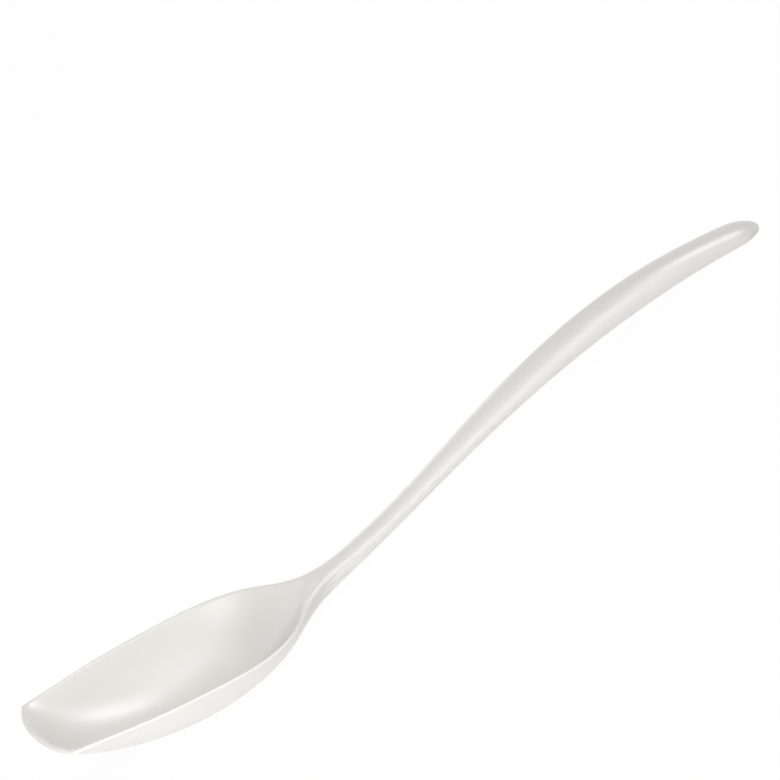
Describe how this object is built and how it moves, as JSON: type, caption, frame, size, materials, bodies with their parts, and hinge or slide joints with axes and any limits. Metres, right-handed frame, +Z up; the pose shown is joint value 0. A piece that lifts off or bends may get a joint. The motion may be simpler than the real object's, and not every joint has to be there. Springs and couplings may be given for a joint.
{
  "type": "cooking spoon",
  "caption": "One-colour melamine cooking spoon: deep blunt-tipped bowl and slim arched handle, for stirring, scooping and serving.",
  "frame": {"origin": "on the table under the middle of the spoon's length and width, with the spoon lying as it rests: on the underside of its bowl and on the end of its handle", "axes": "+X along the spoon from the bowl's tip towards the end of the handle, +Y across it, +Z up from the table with the bowl's hollow open upwards"},
  "size_m": [0.2956, 0.0542, 0.0357],
  "materials": {
    "bowl_melamine": "off-white melamine, moulded smooth, soft satin gloss",
    "handle_melamine": "off-white melamine, moulded smooth, soft satin gloss"
  },
  "bodies": {
    "root": {"bowl": "bowl_melamine", "handle": "handle_melamine"}
  },
  "joints": []
}
